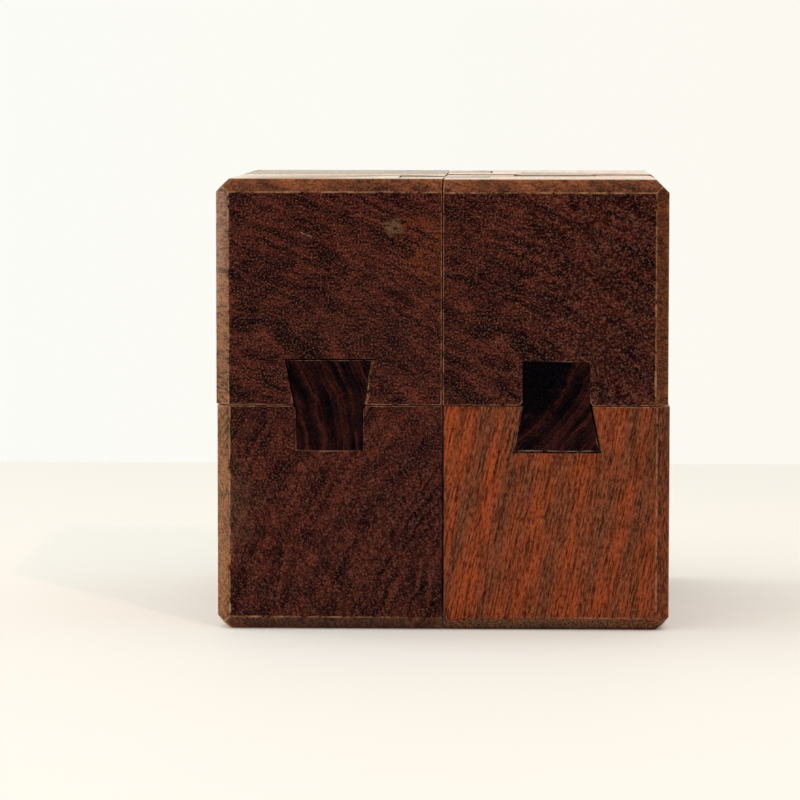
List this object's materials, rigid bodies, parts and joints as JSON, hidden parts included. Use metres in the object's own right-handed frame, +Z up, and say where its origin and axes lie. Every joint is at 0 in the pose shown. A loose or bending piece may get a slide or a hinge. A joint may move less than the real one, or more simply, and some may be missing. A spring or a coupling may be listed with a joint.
{
  "type": "wooden puzzle box",
  "caption": "Cube puzzle box of walnut corner blocks that slide apart on dovetail keys to open hidden compartments inside.",
  "frame": {"origin": "centre of the closed cube's underside, in the plane of the surface that it rests on", "axes": "+X to the right of the front face, +Y from the front to the rear, +Z up"},
  "size_m": [0.0804, 0.08, 0.08],
  "materials": {
    "walnut": "oiled, satin, end grain darker than side grain, worn pale at the edges",
    "russet_walnut": "oiled, satin, straight side grain with darker streaks",
    "rosewood": "oiled, satin, black and reddish stripes",
    "brass": "plain turned"
  },
  "bodies": {
    "front_left_upper": {"front_left_upper_block": "walnut"},
    "front_left_lower": {"front_left_lower_block": "walnut", "front_left_key": "rosewood", "front_left_stop_pin": "brass"},
    "front_right_upper": {"front_right_upper_block": "walnut", "top_front_key": "rosewood", "top_front_stop_pin": "brass", "front_right_key": "rosewood", "front_right_stop_pin": "brass"},
    "front_right_lower": {"front_right_lower_block": "russet_walnut"},
    "rear_right_upper": {"rear_right_upper_block": "walnut", "top_right_key": "rosewood", "top_right_stop_pin": "brass", "rear_right_key": "rosewood", "rear_right_stop_pin": "brass"},
    "rear_right_lower": {"rear_right_lower_block": "walnut"},
    "rear_left_upper": {"rear_left_upper_block": "walnut", "top_rear_key": "rosewood", "top_rear_stop_pin": "brass"},
    "rear_left_lower": {"rear_left_lower_block": "walnut", "rear_left_key": "rosewood", "rear_left_stop_pin": "brass"}
  },
  "joints": [
    {"name": "front_left_lower_slide", "type": "slide", "parent": "front_left_upper", "child": "front_left_lower", "axis": [0, -1, 0], "range_m": [0, 0.028]},
    {"name": "front_right_upper_slide", "type": "slide", "parent": "front_left_upper", "child": "front_right_upper", "axis": [0, 0, 1], "range_m": [0, 0.028]},
    {"name": "front_right_lower_slide", "type": "slide", "parent": "front_right_upper", "child": "front_right_lower", "axis": [0, -1, 0], "range_m": [0, 0.028]},
    {"name": "rear_right_upper_slide", "type": "slide", "parent": "front_right_upper", "child": "rear_right_upper", "axis": [0, 0, 1], "range_m": [0, 0.028]},
    {"name": "rear_right_lower_slide", "type": "slide", "parent": "rear_right_upper", "child": "rear_right_lower", "axis": [0, 1, 0], "range_m": [0, 0.028]},
    {"name": "rear_left_upper_slide", "type": "slide", "parent": "rear_right_upper", "child": "rear_left_upper", "axis": [0, 0, 1], "range_m": [0, 0.028]},
    {"name": "rear_left_lower_slide", "type": "slide", "parent": "rear_left_upper", "child": "rear_left_lower", "axis": [0, 1, 0], "range_m": [0, 0.028]}
  ]
}
